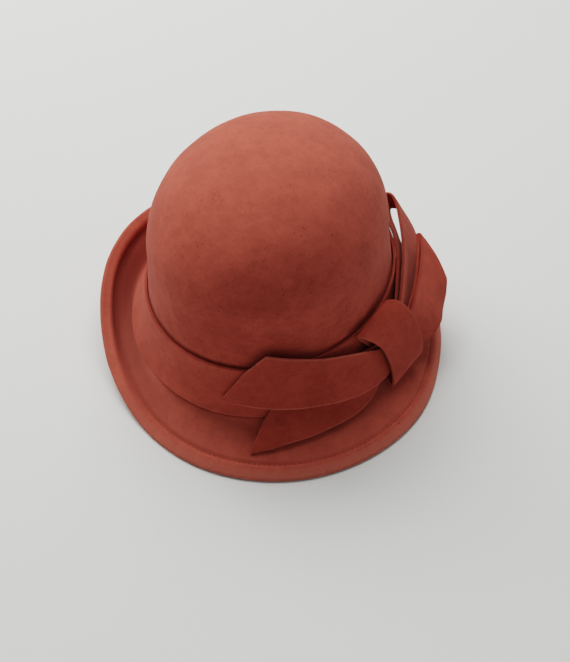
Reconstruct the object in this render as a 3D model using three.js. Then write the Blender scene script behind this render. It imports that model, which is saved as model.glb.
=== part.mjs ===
import * as THREE from "three";

// A blocked felt cloche hat: a deep domed crown, a brim turned up on the wearer's left,
// a felt band and a folded bow. Millimetres, +Z up, the front at -Y, the wearer's left at +X.
// The hat stands on its brim at z = 0.

// Felt and clearance
const FELT = 2.4; // wall of the blocked body
const STRIP_FELT = 2.0; // thickness of the band and of the bow's strips
const GAP = 0.3; // air between one piece and the next
const HEM_DEPTH = 10.5; // width of the brim's folded hem
const HEM_THICK = 4.6; // both layers of the folded hem

// Crown
const CROWN_LONG = 204; // front to back at the band's top line
const CROWN_WIDE = 168; // side to side at the band's top line
const CROWN_HEIGHT = 98.5; // from the band's top line to the top of the dome
const WALL_HEIGHT = 33.4; // straight part of the wall above the band
const WALL_TAPER = 0.031; // share of its width that the wall loses on the way up
const DOME_ROUND = 0.951; // exponents of the dome's rounded profile
const DOME_RISE = 0.973;

// Brim, band and the way the hat stands
const BAND_HEIGHT = 38;
const BAND_FLARE = 8; // how far the wall spreads under the band
const BRIM_REACH = 40; // from the crown's oval at the band line to the brim's edge, on average
const BRIM_DROP = 63.8; // from the band's top line to the table
const TURN_UP = 38; // how high the left side of the brim turns up
const TABLE_FLAT = 0.5; // depth by which the resting edge is flattened
const LEAN_SIDE = 0.039; // slopes of the table across and along the band line
const LEAN_BACK = 0.014;

// Bow
const STRIP_WIDTH = 38;
const FOLD_SWELL = 0.05; // how far the lower loop's flared ply bulges, as a share of STRIP_WIDTH

// Brim by azimuth: degrees, reach / BRIM_REACH, rise / TURN_UP, flare / BAND_FLARE,
// foot / BAND_HEIGHT, slope of the edge in degrees
const BRIM = [
  [0, 0.99, 1, 2.05, 0.93, 47],
  [30, 0.91, 0.42, 1.8, 0.97, 26],
  [60, 0.885, 0.03, 1.25, 0.98, -16],
  [90, 1.022, 0, 1, 1, -26],
  [120, 1.155, 0, 1, 1, -26],
  [150, 1.14, 0, 1, 1, -34],
  [180, 0.942, 0, 1, 1, -42],
  [210, 0.875, 0, 1, 1, -45],
  [240, 0.945, 0, 1, 1, -40],
  [270, 0.98, 0, 1, 1, -34],
  [300, 1.008, 0.54, 1.2, 0.96, -6],
  [330, 1.025, 1.07, 1.7, 0.95, 42],
];

// Strips by rows: azimuth, stand and height of one edge, then of the other, in degrees and in
// shares of STRIP_WIDTH. The stand is measured outwards from the band's face, the height from
// the band's top line.
const KNOT = [
  [140.8, 0.097, 0.032, 164, 0.076, 0.084],
  [144.8, 0.187, -0.074, 167.6, 0.268, 0.053],
  [149.2, 0.294, -0.316, 169.2, 0.464, -0.232],
  [151.6, 0.33, -0.695, 169.7, 0.528, -0.632],
  [151.6, 0.344, -1.079, 169.2, 0.498, -1.021],
  [151.6, 0.266, -1.274, 168.5, 0.347, -1.216],
  [152.6, 0.086, -1.105, 168, 0.103, -1.1],
  [151.6, 0.036, -0.842, 167, 0.047, -0.816],
  [147.6, 0.036, -0.408, 165.6, 0.051, -0.368],
];
const LOOP_UPPER = [
  [163, 0.132, -0.237, 163, 0.106, -0.711],
  [170, 0.149, -0.079, 170, 0.1, -0.737],
  [184, 0.061, 0.013, 183, 0.066, -0.763],
  [198, 0.034, 0.047, 196, 0.066, -0.763],
  [211, 0.018, 0.079, 208.5, 0.123, -0.553],
  [220, 0.024, 0.121, 218, 0.131, -0.289],
  [227.2, 0.097, 0.221, 225.4, 0.165, -0.105],
  [230.6, 0.208, 0.268, 228.8, 0.27, -0.079],
  [228.5, 0.318, 0.253, 226.4, 0.448, -0.158],
  [224, 0.308, 0.184, 221.5, 0.524, -0.5],
  [217.5, 0.239, 0.118, 215, 0.464, -0.632],
  [208, 0.166, 0.079, 205, 0.322, -0.658],
  [196, 0.137, 0.079, 195, 0.206, -0.684],
  [184, 0.155, 0.053, 184, 0.164, -0.684],
  [170, 0.231, -0.066, 171, 0.185, -0.711],
  [163, 0.2, -0.237, 163, 0.174, -0.711],
];
const LOOP_LOWER = [
  [163, 0.267, -0.342, 163, 0.237, -0.947],
  [170, 0.275, -0.395, 170, 0.252, -1.013],
  [184, 0.27, -0.395, 181, 0.38, -1.158],
  [197, 0.331, -0.342, 189, 0.475, -1.145],
  [207, 0.416, -0.263, 195, 0.581, -1.013],
  [212.6, 0.474, -0.184, 199.4, 0.728, -0.829],
  [212.4, 0.538, -0.184, 199.2, 0.818, -0.776],
  [206, 0.492, -0.224, 194.4, 0.772, -0.868],
  [197, 0.416, -0.263, 188.6, 0.699, -0.968],
  [185, 0.352, -0.289, 182, 0.682, -1],
  [174, 0.368, -0.316, 175, 0.535, -1.047],
  [167, 0.336, -0.342, 168, 0.35, -1],
  [163, 0.317, -0.355, 163, 0.306, -0.947],
];
const TAIL_UPPER = [
  [87, 0.03, -0.605, 86.8, 0.029, -0.624],
  [95, 0.071, 0.005, 91.5, 0.042, -0.663],
  [103, 0.045, 0.384, 97.5, 0.103, -0.647],
  [109, 0.053, 0.295, 105.5, 0.149, -0.679],
  [116, 0.066, 0.182, 113, 0.194, -0.716],
  [124, 0.092, 0.032, 121, 0.225, -0.768],
  [133, 0.142, -0.089, 129, 0.249, -0.853],
  [144, 0.161, -0.3, 138.5, 0.275, -0.932],
  [152, 0.185, -0.484, 149, 0.264, -0.984],
  [158.5, 0.199, -0.542, 157.5, 0.251, -0.947],
];
const TAIL_LOWER = [
  [97.4, 0.377, -1.347, 97.6, 0.395, -1.363],
  [101, 0.083, -1.005, 103.5, 0.349, -1.332],
  [103.8, 0.037, -0.774, 109, 0.309, -1.295],
  [111, 0.036, -0.779, 116, 0.28, -1.284],
  [119, 0.037, -0.737, 123.4, 0.263, -1.263],
  [127, 0.039, -0.579, 129.5, 0.258, -1.263],
  [134, 0.046, -0.395, 135.5, 0.239, -1.253],
  [142, 0.078, -0.342, 142, 0.2, -1.211],
  [150, 0.112, -0.379, 148.8, 0.139, -1.079],
  [156, 0.12, -0.416, 155.5, 0.127, -0.961],
];

const AROUND = 72; // steps round the hat
const TURN = Math.PI / 180;
const mix = (a, b, t) => a + (b - a) * t;

// Smooth curve through four neighbouring values, t running from b to c
function through(a, b, c, d, t) {
  const bend = 2 * a - 5 * b + 4 * c - d;
  const twist = 3 * b - a - 3 * c + d;
  return 0.5 * (2 * b + (c - a) * t + bend * t ** 2 + twist * t ** 3);
}

// Radius of the crown's oval at the band's top line
function oval(phi) {
  return 1 / Math.hypot(Math.cos(phi) / (CROWN_WIDE / 2), Math.sin(phi) / (CROWN_LONG / 2));
}

// One row of the brim's table, in millimetres, at any azimuth
function brimRow(phi) {
  const steps = BRIM.length;
  const turn = (((phi / (2 * Math.PI)) % 1) + 1) % 1;
  const k = Math.floor(turn * steps);
  const near = [k - 1, k, k + 1, k + 2].map((i) => BRIM[(i + steps) % steps]);
  const column = (c) => through(...near.map((row) => row[c]), turn * steps - k);
  const [reach, rise, flare, foot, slope] = [1, 2, 3, 4, 5].map(column);
  return {
    reach: reach * BRIM_REACH,
    rise: Math.max(rise, 0) * TURN_UP,
    flare: flare * BAND_FLARE,
    foot: foot * BAND_HEIGHT,
    slope: slope * TURN,
  };
}

// Height of the table under a point, measured from the band's top line
const tableAt = (x, y) => -BRIM_DROP + LEAN_SIDE * x + LEAN_BACK * y;

// The wall under the band, t from 0 at the band's top line to 1 at its foot: out from the oval, up
const WALL_OUT = 0.25; // where the wall's curve bends, as shares of the flare and of the foot's depth
const WALL_DOWN = 0.55;
function wallAt(row, t) {
  const out = 2 * WALL_OUT * row.flare * t * (1 - t) + row.flare * t * t;
  const up = -(2 * WALL_DOWN * row.foot * t * (1 - t) + row.foot * t * t);
  return new THREE.Vector2(out, up);
}

// The brim's top from the band's foot to the start of the rounded edge
const FOOT_PULL = 0.32; // handles of the brim's curve, as shares of its span
const EDGE_PULL = 0.42;
const CURVE_LENGTH = 1.03; // length of the brim's curve over its span
function brimCurve(phi) {
  const row = brimRow(phi);
  const radius = HEM_THICK / 2;
  const along = new THREE.Vector2(Math.cos(row.slope), Math.sin(row.slope));
  const reach = oval(phi) + row.reach;
  const table = tableAt(reach * Math.cos(phi), reach * Math.sin(phi));
  const low = radius * (1 - Math.abs(along.y)) - TABLE_FLAT;
  const tip = new THREE.Vector2(row.reach, table + row.rise + low);
  const centre = tip.clone().addScaledVector(along, -radius);
  const end = centre.clone().add(new THREE.Vector2(-along.y, along.x).multiplyScalar(radius));
  const foot = wallAt(row, 1);
  const leave = foot.clone().sub(wallAt(row, 0.98)).normalize();
  const span = foot.distanceTo(end);
  const curve = new THREE.CubicBezierCurve(
    foot,
    foot.clone().addScaledVector(leave, FOOT_PULL * span),
    end.clone().addScaledVector(along, -EDGE_PULL * span),
    end,
  );
  return { row, curve, centre, along, radius, span };
}

// One meridian of the body: the outer side from the pole to the rim, round the rim, and back
const DOME_STEPS = [84, 76, 67, 58, 49, 40, 31, 22, 14, 6, 0];
const WALL_STEPS = [0, 0.35, 0.7];
const BRIM_STEPS = [0, 0.2, 0.42, 0.66, 0.88, 0.97];
const EDGE_TURNS = [60, 30, 0, -30, -60];
function meridian(phi) {
  const { row, curve, centre, along, radius, span } = brimCurve(phi);
  const round = oval(phi);
  const outer = DOME_STEPS.map((degrees) => {
    const share = (1 - WALL_TAPER) * Math.cos(degrees * TURN) ** DOME_ROUND;
    const up = WALL_HEIGHT + (CROWN_HEIGHT - WALL_HEIGHT) * Math.sin(degrees * TURN) ** DOME_RISE;
    return new THREE.Vector2(round * share, up);
  });
  for (const t of WALL_STEPS) outer.push(wallAt(row, t).add(new THREE.Vector2(round, 0)));
  const hem = 1 - (HEM_DEPTH - radius) / (CURVE_LENGTH * span);
  const brimSteps = [...BRIM_STEPS.map((share) => share * hem), hem, 1];
  for (const t of brimSteps) outer.push(curve.getPoint(t).add(new THREE.Vector2(round, 0)));
  const last = outer.length - 1;
  const inner = outer.map((p, i) => {
    const ahead = outer[Math.min(i + 1, last)];
    const behind = i === 0 ? new THREE.Vector2(0, CROWN_HEIGHT) : outer[i - 1];
    const tangent = ahead.clone().sub(behind).normalize();
    const thick = i >= last - 1 ? HEM_THICK : FELT;
    return p.clone().add(new THREE.Vector2(tangent.y, -tangent.x).multiplyScalar(thick));
  });
  inner[last] = centre.clone().multiplyScalar(2).sub(outer[last].clone().sub(new THREE.Vector2(round, 0)));
  inner[last].x += round;
  const edge = EDGE_TURNS.map((degrees) => {
    const turned = along.clone().rotateAround(new THREE.Vector2(), degrees * TURN);
    return centre.clone().addScaledVector(turned, radius).add(new THREE.Vector2(round, 0));
  });
  return [...outer, ...edge, ...inner.reverse()];
}

// Places a point given by azimuth, radius and height above the band line in the frame of the table
const level = new THREE.Matrix4().makeRotationFromEuler(
  new THREE.Euler(Math.atan(-LEAN_BACK), Math.atan(LEAN_SIDE), 0),
);
function place(phi, radius, up) {
  const point = new THREE.Vector3(radius * Math.cos(phi), radius * Math.sin(phi), up + BRIM_DROP);
  return point.applyMatrix4(level);
}

// Closed skin over a grid of points, with rows joined end to end, or capped by fans
function skin(rows, { closedRows = false, closedAcross = true, poles = null }) {
  const across = rows[0].length;
  const points = rows.flat();
  const faces = [];
  const rowCount = closedRows ? rows.length : rows.length - 1;
  const acrossCount = closedAcross ? across : across - 1;
  for (let i = 0; i < rowCount; i++) {
    for (let j = 0; j < acrossCount; j++) {
      const a = i * across + j;
      const b = i * across + ((j + 1) % across);
      const c = ((i + 1) % rows.length) * across + ((j + 1) % across);
      const d = ((i + 1) % rows.length) * across + j;
      faces.push(a, b, c, a, c, d);
    }
  }
  if (poles) {
    poles.forEach((pole, end) => {
      points.push(pole);
      const centre = points.length - 1;
      const base = end ? (rows.length - 1) * across : 0;
      for (let j = 0; j < across; j++) {
        const a = base + j;
        const b = base + ((j + 1) % across);
        if (end) faces.push(a, b, centre);
        else faces.push(b, a, centre);
      }
    });
  }
  const geometry = new THREE.BufferGeometry();
  geometry.setAttribute("position", new THREE.Float32BufferAttribute(points.flatMap((p) => p.toArray()), 3));
  geometry.setIndex(faces);
  return outward(geometry);
}

// Turns the faces round if they point into the solid
function outward(geometry) {
  const p = geometry.attributes.position;
  const index = geometry.index.array;
  const [a, b, c] = [new THREE.Vector3(), new THREE.Vector3(), new THREE.Vector3()];
  let volume = 0;
  for (let i = 0; i < index.length; i += 3) {
    [a, b, c].forEach((v, k) => v.fromBufferAttribute(p, index[i + k]));
    volume += a.dot(b.cross(c)) / 6;
  }
  if (volume < 0) {
    for (let i = 0; i < index.length; i += 3) [index[i], index[i + 1]] = [index[i + 1], index[i]];
  }
  geometry.computeVertexNormals();
  return geometry;
}

// Felt body: crown, brim and folded hem in one piece, flattened where it rests on the table
function feltBody() {
  const meridians = Array.from({ length: AROUND }, (_, k) => {
    const phi = (k / AROUND) * 2 * Math.PI;
    return meridian(phi).map((p) => {
      const v = place(phi, p.x, p.y);
      v.z = Math.max(v.z, 0);
      return v;
    });
  });
  const rings = meridians[0].map((_, i) => meridians.map((m) => m[i]));
  return skin(rings, { poles: [place(0, 0, CROWN_HEIGHT), place(0, 0, CROWN_HEIGHT - FELT)] });
}

// Band: a strip round the wall, its top edge standing a little proud and its lower edge on the brim
const BAND_SECTION = [
  [0.0, 0.05], [0.35, 0.0], [0.7, 0.0], [0.965, 0.0],
  [0.965, 0.8], [0.9, 1.0], [0.7, 1.0], [0.35, 1.0], [0.06, 1.15], [0.0, 0.85],
];
function crownBand() {
  const rings = BAND_SECTION.map(([t, stand]) =>
    Array.from({ length: AROUND }, (_, k) => {
      const phi = (k / AROUND) * 2 * Math.PI;
      const row = brimRow(phi);
      const p = wallAt(row, t);
      const ahead = wallAt(row, t + 0.01).sub(wallAt(row, t - 0.01)).normalize();
      p.addScaledVector(new THREE.Vector2(-ahead.y, ahead.x), GAP + stand * STRIP_FELT);
      return place(phi, oval(phi) + p.x, p.y);
    }),
  );
  return skin(rings, { closedRows: true });
}

// A point beside the band: its stand and height are shares of the strip's width
function beside(azimuth, stand, height) {
  const up = height * STRIP_WIDTH;
  const face = (BAND_FLARE * Math.max(-up, 0)) / BAND_HEIGHT + GAP + STRIP_FELT;
  const phi = azimuth * TURN;
  return place(phi, oval(phi) + face + stand * STRIP_WIDTH, up);
}

// A strip of felt ruled between two edges, with cut ends or joined into a ring
function strip(table, { between, across, ring = false, straight = 0, swell = () => 0 }) {
  const edges = table.map((row) => [beside(...row.slice(0, 3)), beside(...row.slice(3))]);
  const count = edges.length;
  const spans = ring ? count : count - 1;
  const lines = [];
  for (let i = 0; i < spans; i++) {
    const first = i < straight ? 0 : straight;
    const at = (k) => edges[ring ? (k + count) % count : Math.min(Math.max(k, first), count - 1)];
    for (let s = 0; s < between; s++) {
      const t = s / between;
      lines.push([0, 1].map((e) => {
        const [a, b, c, d] = [at(i - 1)[e], at(i)[e], at(i + 1)[e], at(i + 2)[e]];
        if (i < straight) return b.clone().lerp(c, t);
        return new THREE.Vector3(...["x", "y", "z"].map((q) => through(a[q], b[q], c[q], d[q], t)));
      }));
    }
  }
  if (!ring) lines.push(edges[count - 1]);
  const last = lines.length - 1;
  const rows = lines.map(([low, high], i) => {
    const back = lines[ring ? (i + last) % (last + 1) : Math.max(i - 1, 0)];
    const ahead = lines[ring ? (i + 1) % (last + 1) : Math.min(i + 1, last)];
    const sides = [[], []];
    for (let j = 0; j <= across; j++) {
      const w = j / across;
      const point = low.clone().lerp(high, w);
      const bow = 4 * w * (1 - w) * swell(i / last) * STRIP_WIDTH;
      point.addScaledVector(new THREE.Vector3(point.x, point.y, 0).normalize(), bow);
      const along = ahead[0].clone().lerp(ahead[1], w).sub(back[0].clone().lerp(back[1], w));
      const normal = along.cross(high.clone().sub(low)).normalize();
      sides[0].push(point.clone().addScaledVector(normal, STRIP_FELT / 2));
      sides[1].unshift(point.clone().addScaledVector(normal, -STRIP_FELT / 2));
    }
    return sides.flat();
  });
  if (ring) return skin(rows, { closedRows: true });
  const middle = (row) => row.reduce((sum, p) => sum.add(p), new THREE.Vector3()).divideScalar(row.length);
  return skin(rows, { poles: [middle(rows[0]), middle(rows[last])] });
}

// Pieces of the hat, each with its own felt
const felt = { body: 0x9a4638, band: 0x944233, bow: 0x904031 };
const flared = (s) => FOLD_SWELL * Math.sin(Math.PI * s) ** 2;
const pieces = [
  ["felt_body", feltBody(), felt.body],
  ["crown_band", crownBand(), felt.band],
  ["bow_knot", strip(KNOT, { between: 4, across: 4, ring: true }), felt.bow],
  ["bow_loop_upper", strip(LOOP_UPPER, { between: 3, across: 3 }), felt.bow],
  ["bow_loop_lower", strip(LOOP_LOWER, { between: 3, across: 4, swell: flared }), felt.bow],
  ["bow_tail_upper", strip(TAIL_UPPER, { between: 3, across: 3, straight: 2 }), felt.bow],
  ["bow_tail_lower", strip(TAIL_LOWER, { between: 3, across: 3, straight: 2 }), felt.bow],
];

const hat = new THREE.Group();
for (const [name, geometry, colour] of pieces) {
  const material = new THREE.MeshStandardMaterial({ color: colour, roughness: 0.95, metalness: 0 });
  const mesh = new THREE.Mesh(geometry, material);
  mesh.name = name;
  hat.add(mesh);
}

// The origin lies at the middle of the hat's outline, on the table
const middle = new THREE.Box3().setFromObject(hat).getCenter(new THREE.Vector3());
for (const mesh of hat.children) mesh.geometry.translate(-middle.x, -middle.y, 0);

export default hat;
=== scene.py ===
"""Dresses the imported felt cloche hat: fine felt meshes, hem stitches, materials, floor, light, camera."""
import logging
import math
from dataclasses import dataclass, field, fields
from enum import Enum
from typing import Any, Sequence

import bpy
import numpy as np
from mathutils import Matrix, Vector


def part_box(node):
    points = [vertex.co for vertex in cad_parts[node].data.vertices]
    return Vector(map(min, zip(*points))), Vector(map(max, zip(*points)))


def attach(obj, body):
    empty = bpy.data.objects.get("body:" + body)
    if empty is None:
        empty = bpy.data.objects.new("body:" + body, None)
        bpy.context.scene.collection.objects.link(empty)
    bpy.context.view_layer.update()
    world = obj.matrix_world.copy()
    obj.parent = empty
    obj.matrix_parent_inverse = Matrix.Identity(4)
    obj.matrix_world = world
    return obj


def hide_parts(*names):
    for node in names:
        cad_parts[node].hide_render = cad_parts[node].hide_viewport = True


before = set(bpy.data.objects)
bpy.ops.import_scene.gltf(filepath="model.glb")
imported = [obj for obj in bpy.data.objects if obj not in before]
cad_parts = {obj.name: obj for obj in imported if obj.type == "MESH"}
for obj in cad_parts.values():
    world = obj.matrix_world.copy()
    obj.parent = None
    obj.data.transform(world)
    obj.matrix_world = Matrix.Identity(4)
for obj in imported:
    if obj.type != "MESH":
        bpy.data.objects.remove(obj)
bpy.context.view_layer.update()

log = logging.getLogger("cloche")
MM = 0.001
TINY = 1e-12
Array = np.ndarray
Pair = tuple[float, float]
Colour = tuple[float, float, float, float]


class Slot(Enum):
    """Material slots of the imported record."""

    BODY = "body_felt"
    BAND = "band_felt"
    BOW = "bow_felt"


# Shader expressions
class Graph:
    """Builds the nodes of one material."""

    def __init__(self, name: str) -> None:
        """Starts an empty material.

        Args:
            name: the material's name.
        """
        self.material = bpy.data.materials.new(name)
        self.material.use_nodes = True
        self.tree = self.material.node_tree
        self.tree.nodes.clear()

    def node(self, kind: str, settings: dict[str, Any] | None = None, **inputs: Any) -> bpy.types.Node:
        """Adds a node of any type.

        Args:
            kind: the node's type name.
            settings: attributes that are set first.
            inputs: values or links, by socket name with spaces as underscores, or by index as i0, i1.

        Returns:
            The new node.
        """
        made = self.tree.nodes.new(kind)
        for key, value in (settings or {}).items():
            setattr(made, key, value)
        for key, value in inputs.items():
            numbered = key[0] == "i" and key[1:].isdigit()
            socket = made.inputs[int(key[1:]) if numbered else key.replace("_", " ")]
            if isinstance(value, Wire):
                self.tree.links.new(value.socket, socket)
            else:
                socket.default_value = value
        return made

    def wire(
        self, kind: str, settings: dict[str, Any] | None = None, out: int | str = 0, **inputs: Any
    ) -> "Wire":
        """Adds a node and returns one of its outputs as an expression."""
        return Wire(self, self.node(kind, settings, **inputs).outputs[out])

    def mix(self, low: Any, high: Any, factor: Any) -> "Wire":
        """Mixes two colours by a factor."""
        settings = {"data_type": "RGBA", "clamp_factor": True}
        return self.wire("ShaderNodeMix", settings, out=2, i0=factor, i6=low, i7=high)

    def finish(self, shader: bpy.types.Node) -> bpy.types.Material:
        """Ends the material with a shader.

        Args:
            shader: the node whose first output is the surface.

        Returns:
            The finished material.
        """
        out = self.node("ShaderNodeOutputMaterial")
        self.tree.links.new(shader.outputs[0], out.inputs["Surface"])
        return self.material


@dataclass(frozen=True)
class Wire:
    """A socket that Python's operators turn into Math nodes."""

    graph: Graph
    socket: bpy.types.NodeSocket

    def math(self, operation: str, *values: Any) -> "Wire":
        """One Math node, from its operation and its inputs."""
        inputs = {f"i{k}": value for k, value in enumerate(values)}
        return self.graph.wire("ShaderNodeMath", {"operation": operation}, **inputs)

    def __add__(self, other: Any) -> "Wire":
        """Sum."""
        return self.math("ADD", self, other)

    def __mul__(self, other: Any) -> "Wire":
        """Product."""
        return self.math("MULTIPLY", self, other)

    def __sub__(self, other: Any) -> "Wire":
        """Difference."""
        return self.math("SUBTRACT", self, other)

    def __rsub__(self, other: Any) -> "Wire":
        """Difference from a number."""
        return self.math("SUBTRACT", other, self)

    __radd__ = __add__
    __rmul__ = __mul__

    def above(self, floor: float) -> "Wire":
        """The value, or the floor where that is higher."""
        return self.math("MAXIMUM", self, floor)

    def window(self, low: float, high: float) -> "Wire":
        """Smooth step from 0 at low to 1 at high."""
        return self.graph.wire(
            "ShaderNodeMapRange",
            {"interpolation_type": "SMOOTHSTEP"},
            Value=self, From_Min=low, From_Max=high, To_Min=0.0, To_Max=1.0,
        )


# Finishes
def linear(red: float, green: float, blue: float) -> Colour:
    """Scene-linear colour of a 0-255 display colour, by the display's power curve."""
    return (*(((c / 255 + 0.055) / 1.055) ** 2.4 for c in (red, green, blue)), 1.0)


def shade(colour: Colour, share: float) -> Colour:
    """A colour with its light cut to a share."""
    return (*(share * c for c in colour[:3]), 1.0)


@dataclass(frozen=True)
class Fleck:
    """One layer of noise in the felt's dye and nap."""

    scale: float  # waves per metre
    detail: float
    roughness: float
    between: Pair  # noise that counts as 0, and as 1
    share: float  # of the dye's tone, or of the specks
    pile: float = 0.0  # share of the nap's height

    def noise(self, graph: Graph, place: Wire) -> Wire:
        """The layer's noise at a place."""
        settings = {"noise_dimensions": "3D"}
        sizes = {"Scale": self.scale, "Detail": self.detail, "Roughness": self.roughness}
        return graph.wire("ShaderNodeTexNoise", settings, Vector=place, **sizes)

    def tone(self, noise: Wire) -> Wire:
        """The layer's noise between its ends, times its share."""
        return noise.window(*self.between) * self.share


@dataclass(frozen=True)
class FeltFinish:
    """Wool felt: mottled dye, dark specks, a short nap and paler cut edges, with a painted highlight on the
    crown's top and painted shade. Heights are in metres.
    """

    name: str
    colour: Colour
    dark: Colour
    pale: Colour
    dusty: float = 0.0  # how much paler the brim is
    dusty_up_to: Pair = (0.03, 0.055)
    painted_top_highlight: float = 0.22  # painted highlight: how much paler the top of the crown is
    painted_top_highlight_from: Pair = (0.09, 0.17)
    patches: Fleck = Fleck(38.0, 5.0, 0.62, (0.34, 0.66), 0.42)
    grain: Fleck = Fleck(520.0, 4.0, 0.68, (0.34, 0.66), 0.2, 0.5)
    clumps: Fleck = Fleck(156.0, 3.0, 0.6, (0.36, 0.64), 0.18, 0.25)
    brushed: Fleck = Fleck(135.2, 4.0, 0.66, (0.38, 0.62), 0.2, 0.25)
    comb: float = 2.4  # how much finer the brushed nap is upwards than round the hat
    speck_cells: float = 300.0  # per metre, few of them with a speck
    speck_size: Pair = (0.1, 0.3)
    rare: Fleck = Fleck(63.0, 2.0, 0.5, (0.53, 0.66), 0.5)
    patchy: Pair = (0.5, 0.55)  # how much the grain breaks up a pale place, and the rest
    painted_shade_level: float = 0.48  # light left where shade is painted, and in specks
    speck_shade: float = 0.45
    nap_depth: float = 0.0002
    nap_strength: float = 0.75
    roughness: float = 0.95
    specular: float = 0.3
    sheen: float = 0.08
    sheen_roughness: float = 0.7
    sheen_tint: Colour = linear(250, 190, 168)

    def specks(self, graph: Graph, place: Wire) -> Wire:
        """Where the dark specks are: a round dot in the cells where a slow noise is high.

        Args:
            graph: the material's nodes.
            place: Object coordinates.

        Returns:
            The specks' strength.
        """
        cells = {"Vector": place, "Scale": self.speck_cells}
        dots = graph.wire("ShaderNodeTexVoronoi", {"feature": "F1"}, **cells).window(*self.speck_size)
        return (1 - dots) * self.rare.tone(self.rare.noise(graph, place))

    def build(self) -> bpy.types.Material:
        """Builds the material.

        Four noises mix the dye. Cut edges and the brim go towards the pale colour, and so does the crown's
        top as a painted highlight; painted shade and specks go towards a darker one.

        Returns:
            The material, on Object coordinates and the paling_and_painted_shade attribute, which pales the
            felt above nought and paints shade on it below nought.
        """
        g = Graph(self.name)
        place = g.wire("ShaderNodeTexCoord", out="Object")
        stretch = (1.0, 1.0, self.comb)
        combed = g.wire("ShaderNodeVectorMath", {"operation": "MULTIPLY"}, i0=place, i1=stretch)
        patches = self.patches.noise(g, place)
        grain = self.grain.noise(g, place)
        clumps = self.clumps.noise(g, place)
        brushed = self.brushed.noise(g, combed)
        tone = self.patches.tone(patches) + self.grain.tone(grain) + self.clumps.tone(clumps)
        cloth = g.mix(self.dark, self.colour, tone + self.brushed.tone(brushed))
        # per point: paler edges above nought, painted shade below nought
        edge = g.wire("ShaderNodeAttribute", {"attribute_name": "paling_and_painted_shade"}, out="Fac")
        height = g.wire("ShaderNodeSeparateXYZ", out="Z", i0=place)
        # towards the pale colour: cut edges, the paler brim, and the crown's top as a painted highlight
        tone_shift = edge.above(0.0) + height.window(*self.painted_top_highlight_from) * self.painted_top_highlight
        tone_shift = tone_shift + (1 - height.window(*self.dusty_up_to)) * self.dusty
        broken, rest = self.patchy
        paled = g.mix(cloth, self.pale, tone_shift * (grain * broken + rest))
        # painted shade where the attribute is below nought
        folded = g.mix(paled, shade(self.dark, self.painted_shade_level), (0 - edge).above(0.0))
        spotted = g.mix(folded, shade(self.dark, self.speck_shade), self.specks(g, place))
        pile = grain * self.grain.pile + clumps * self.clumps.pile + brushed * self.brushed.pile
        relief = g.wire("ShaderNodeBump", Strength=self.nap_strength, Distance=self.nap_depth, Height=pile)
        shader = g.node("ShaderNodeBsdfPrincipled", Base_Color=spotted, Normal=relief)
        shader.inputs["Roughness"].default_value = self.roughness
        shader.inputs["Specular IOR Level"].default_value = self.specular
        shader.inputs["Sheen Weight"].default_value = self.sheen
        shader.inputs["Sheen Roughness"].default_value = self.sheen_roughness
        shader.inputs["Sheen Tint"].default_value = self.sheen_tint
        return g.finish(shader)


@dataclass(frozen=True)
class PlainFinish:
    """One flat colour and roughness."""

    name: str
    colour: Colour
    roughness: float = 0.9
    specular: float = 0.2

    def build(self) -> bpy.types.Material:
        """Builds the material.

        Returns:
            The finished material.
        """
        g = Graph(self.name)
        shader = g.node("ShaderNodeBsdfPrincipled", Base_Color=self.colour, Roughness=self.roughness)
        shader.inputs["Specular IOR Level"].default_value = self.specular
        return g.finish(shader)


# Meshes
def smoothstep(x: Array, low: float, high: float) -> Array:
    """Cubic ease from 0 at low to 1 at high."""
    t = np.clip((x - low) / (high - low), 0, 1)
    return t * t * (3 - 2 * t)


def bell(x: Array, wide: float | Array) -> Array:
    """Bell curve, 1 at nought and 1/e at its width."""
    return np.exp(-((x / wide) ** 2))


def unit(v: Array) -> Array:
    """Vectors of length one along the last axis."""
    return v / np.maximum(np.linalg.norm(v, axis=-1, keepdims=True), TINY)


def across(v: Array) -> Array:
    """Plane vectors turned by a quarter, so that what ran outwards points up."""
    return np.stack([-v[..., 1], v[..., 0]], -1)


def round_angles(count: int) -> Array:
    """Angles once round, evenly spaced."""
    return np.linspace(0, 2 * math.pi, count, endpoint=False)


def catmull(values: Array, at: Array, closed: bool) -> Array:
    """Catmull-Rom curve through rows of values.

    Between rows b and c, with neighbours a and d, the value at t is half of
    2b + (c - a)t + (2a - 5b + 4c - d)t^2 + (3b - a - 3c + d)t^3.

    Args:
        values: rows of values.
        at: places along the curve, in rows.
        closed: whether the last row is followed by the first.

    Returns:
        One row of values for each place.
    """
    n = len(values)
    last = n if closed else n - 1
    k = np.clip(np.floor(at).astype(int), 0, last - 1)
    t = (at - k).reshape((-1,) + (1,) * (values.ndim - 1))
    rows = [(k + s) % n if closed else np.clip(k + s, 0, n - 1) for s in (-1, 0, 1, 2)]
    a, b, c, d = (values[r] for r in rows)
    return 0.5 * (2 * b + (c - a) * t + (2 * a - 5 * b + 4 * c - d) * t**2 + (3 * b - a - 3 * c + d) * t**3)


def grid_faces(rows: int, columns: int, closed_rows: bool, closed_columns: bool) -> Array:
    """Quads over a grid of points.

    Args:
        rows: rows of points.
        columns: points in each row.
        closed_rows: whether the last row joins the first.
        closed_columns: whether each row's last point joins its first.

    Returns:
        Rows of four indices.
    """
    i = np.arange(rows if closed_rows else rows - 1)[:, None]
    j = np.arange(columns if closed_columns else columns - 1)[None, :]
    i2, j2 = (i + 1) % rows, (j + 1) % columns
    quads = [i * columns + j, i * columns + j2, i2 * columns + j2, i2 * columns + j]
    return np.stack([np.broadcast_to(q, quads[0].shape) for q in quads], -1).reshape(-1, 4)


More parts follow.
